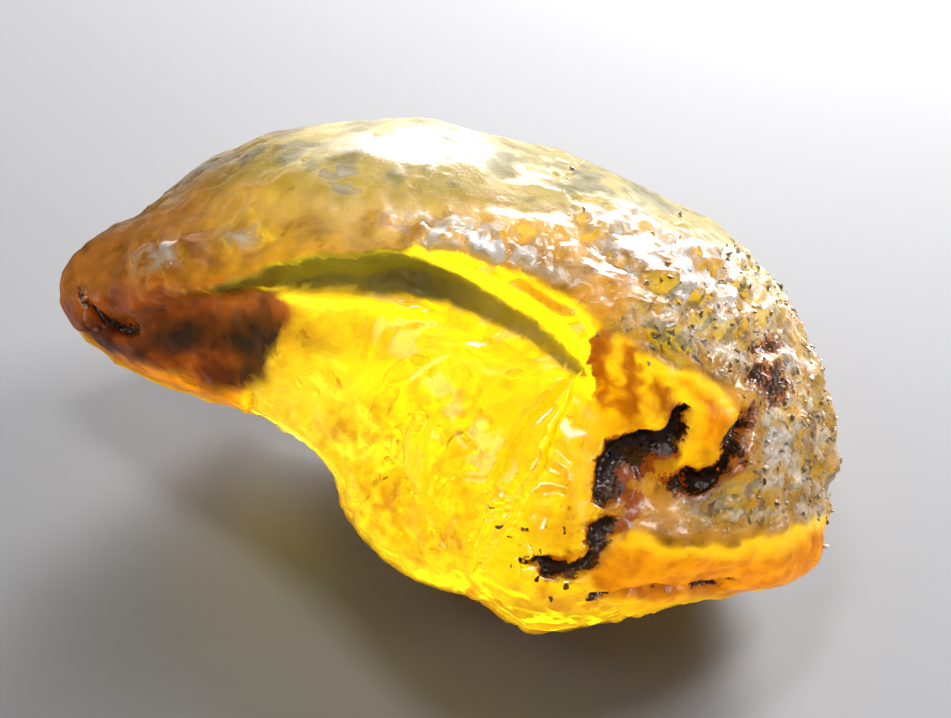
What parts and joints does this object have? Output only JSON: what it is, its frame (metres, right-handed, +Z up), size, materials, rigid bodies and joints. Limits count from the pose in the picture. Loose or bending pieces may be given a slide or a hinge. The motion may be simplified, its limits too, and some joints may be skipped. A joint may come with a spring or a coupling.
{
  "type": "raw amber piece",
  "caption": "Natural lump of clear golden amber with a glassy broken face and a pitted orange-brown rind, resting on a worn flat, for display or study.",
  "frame": {"origin": "on the resting surface, under the middle of the lump's bounding box", "axes": "+X from the thin nose to the thick butt, +Y away from the broken face, +Z up"},
  "size_m": [0.038, 0.0272, 0.0187],
  "materials": {
    "amber": "clear golden resin, glossy where it is broken, under a pitted orange-brown rind that is frosted along its crest",
    "debris": "dark crumbs of plant matter and soil, matt with a few glossy grains, sealed in the resin and lodged in its pits"
  },
  "bodies": {
    "root": {"raw_amber": "amber"}
  },
  "joints": []
}
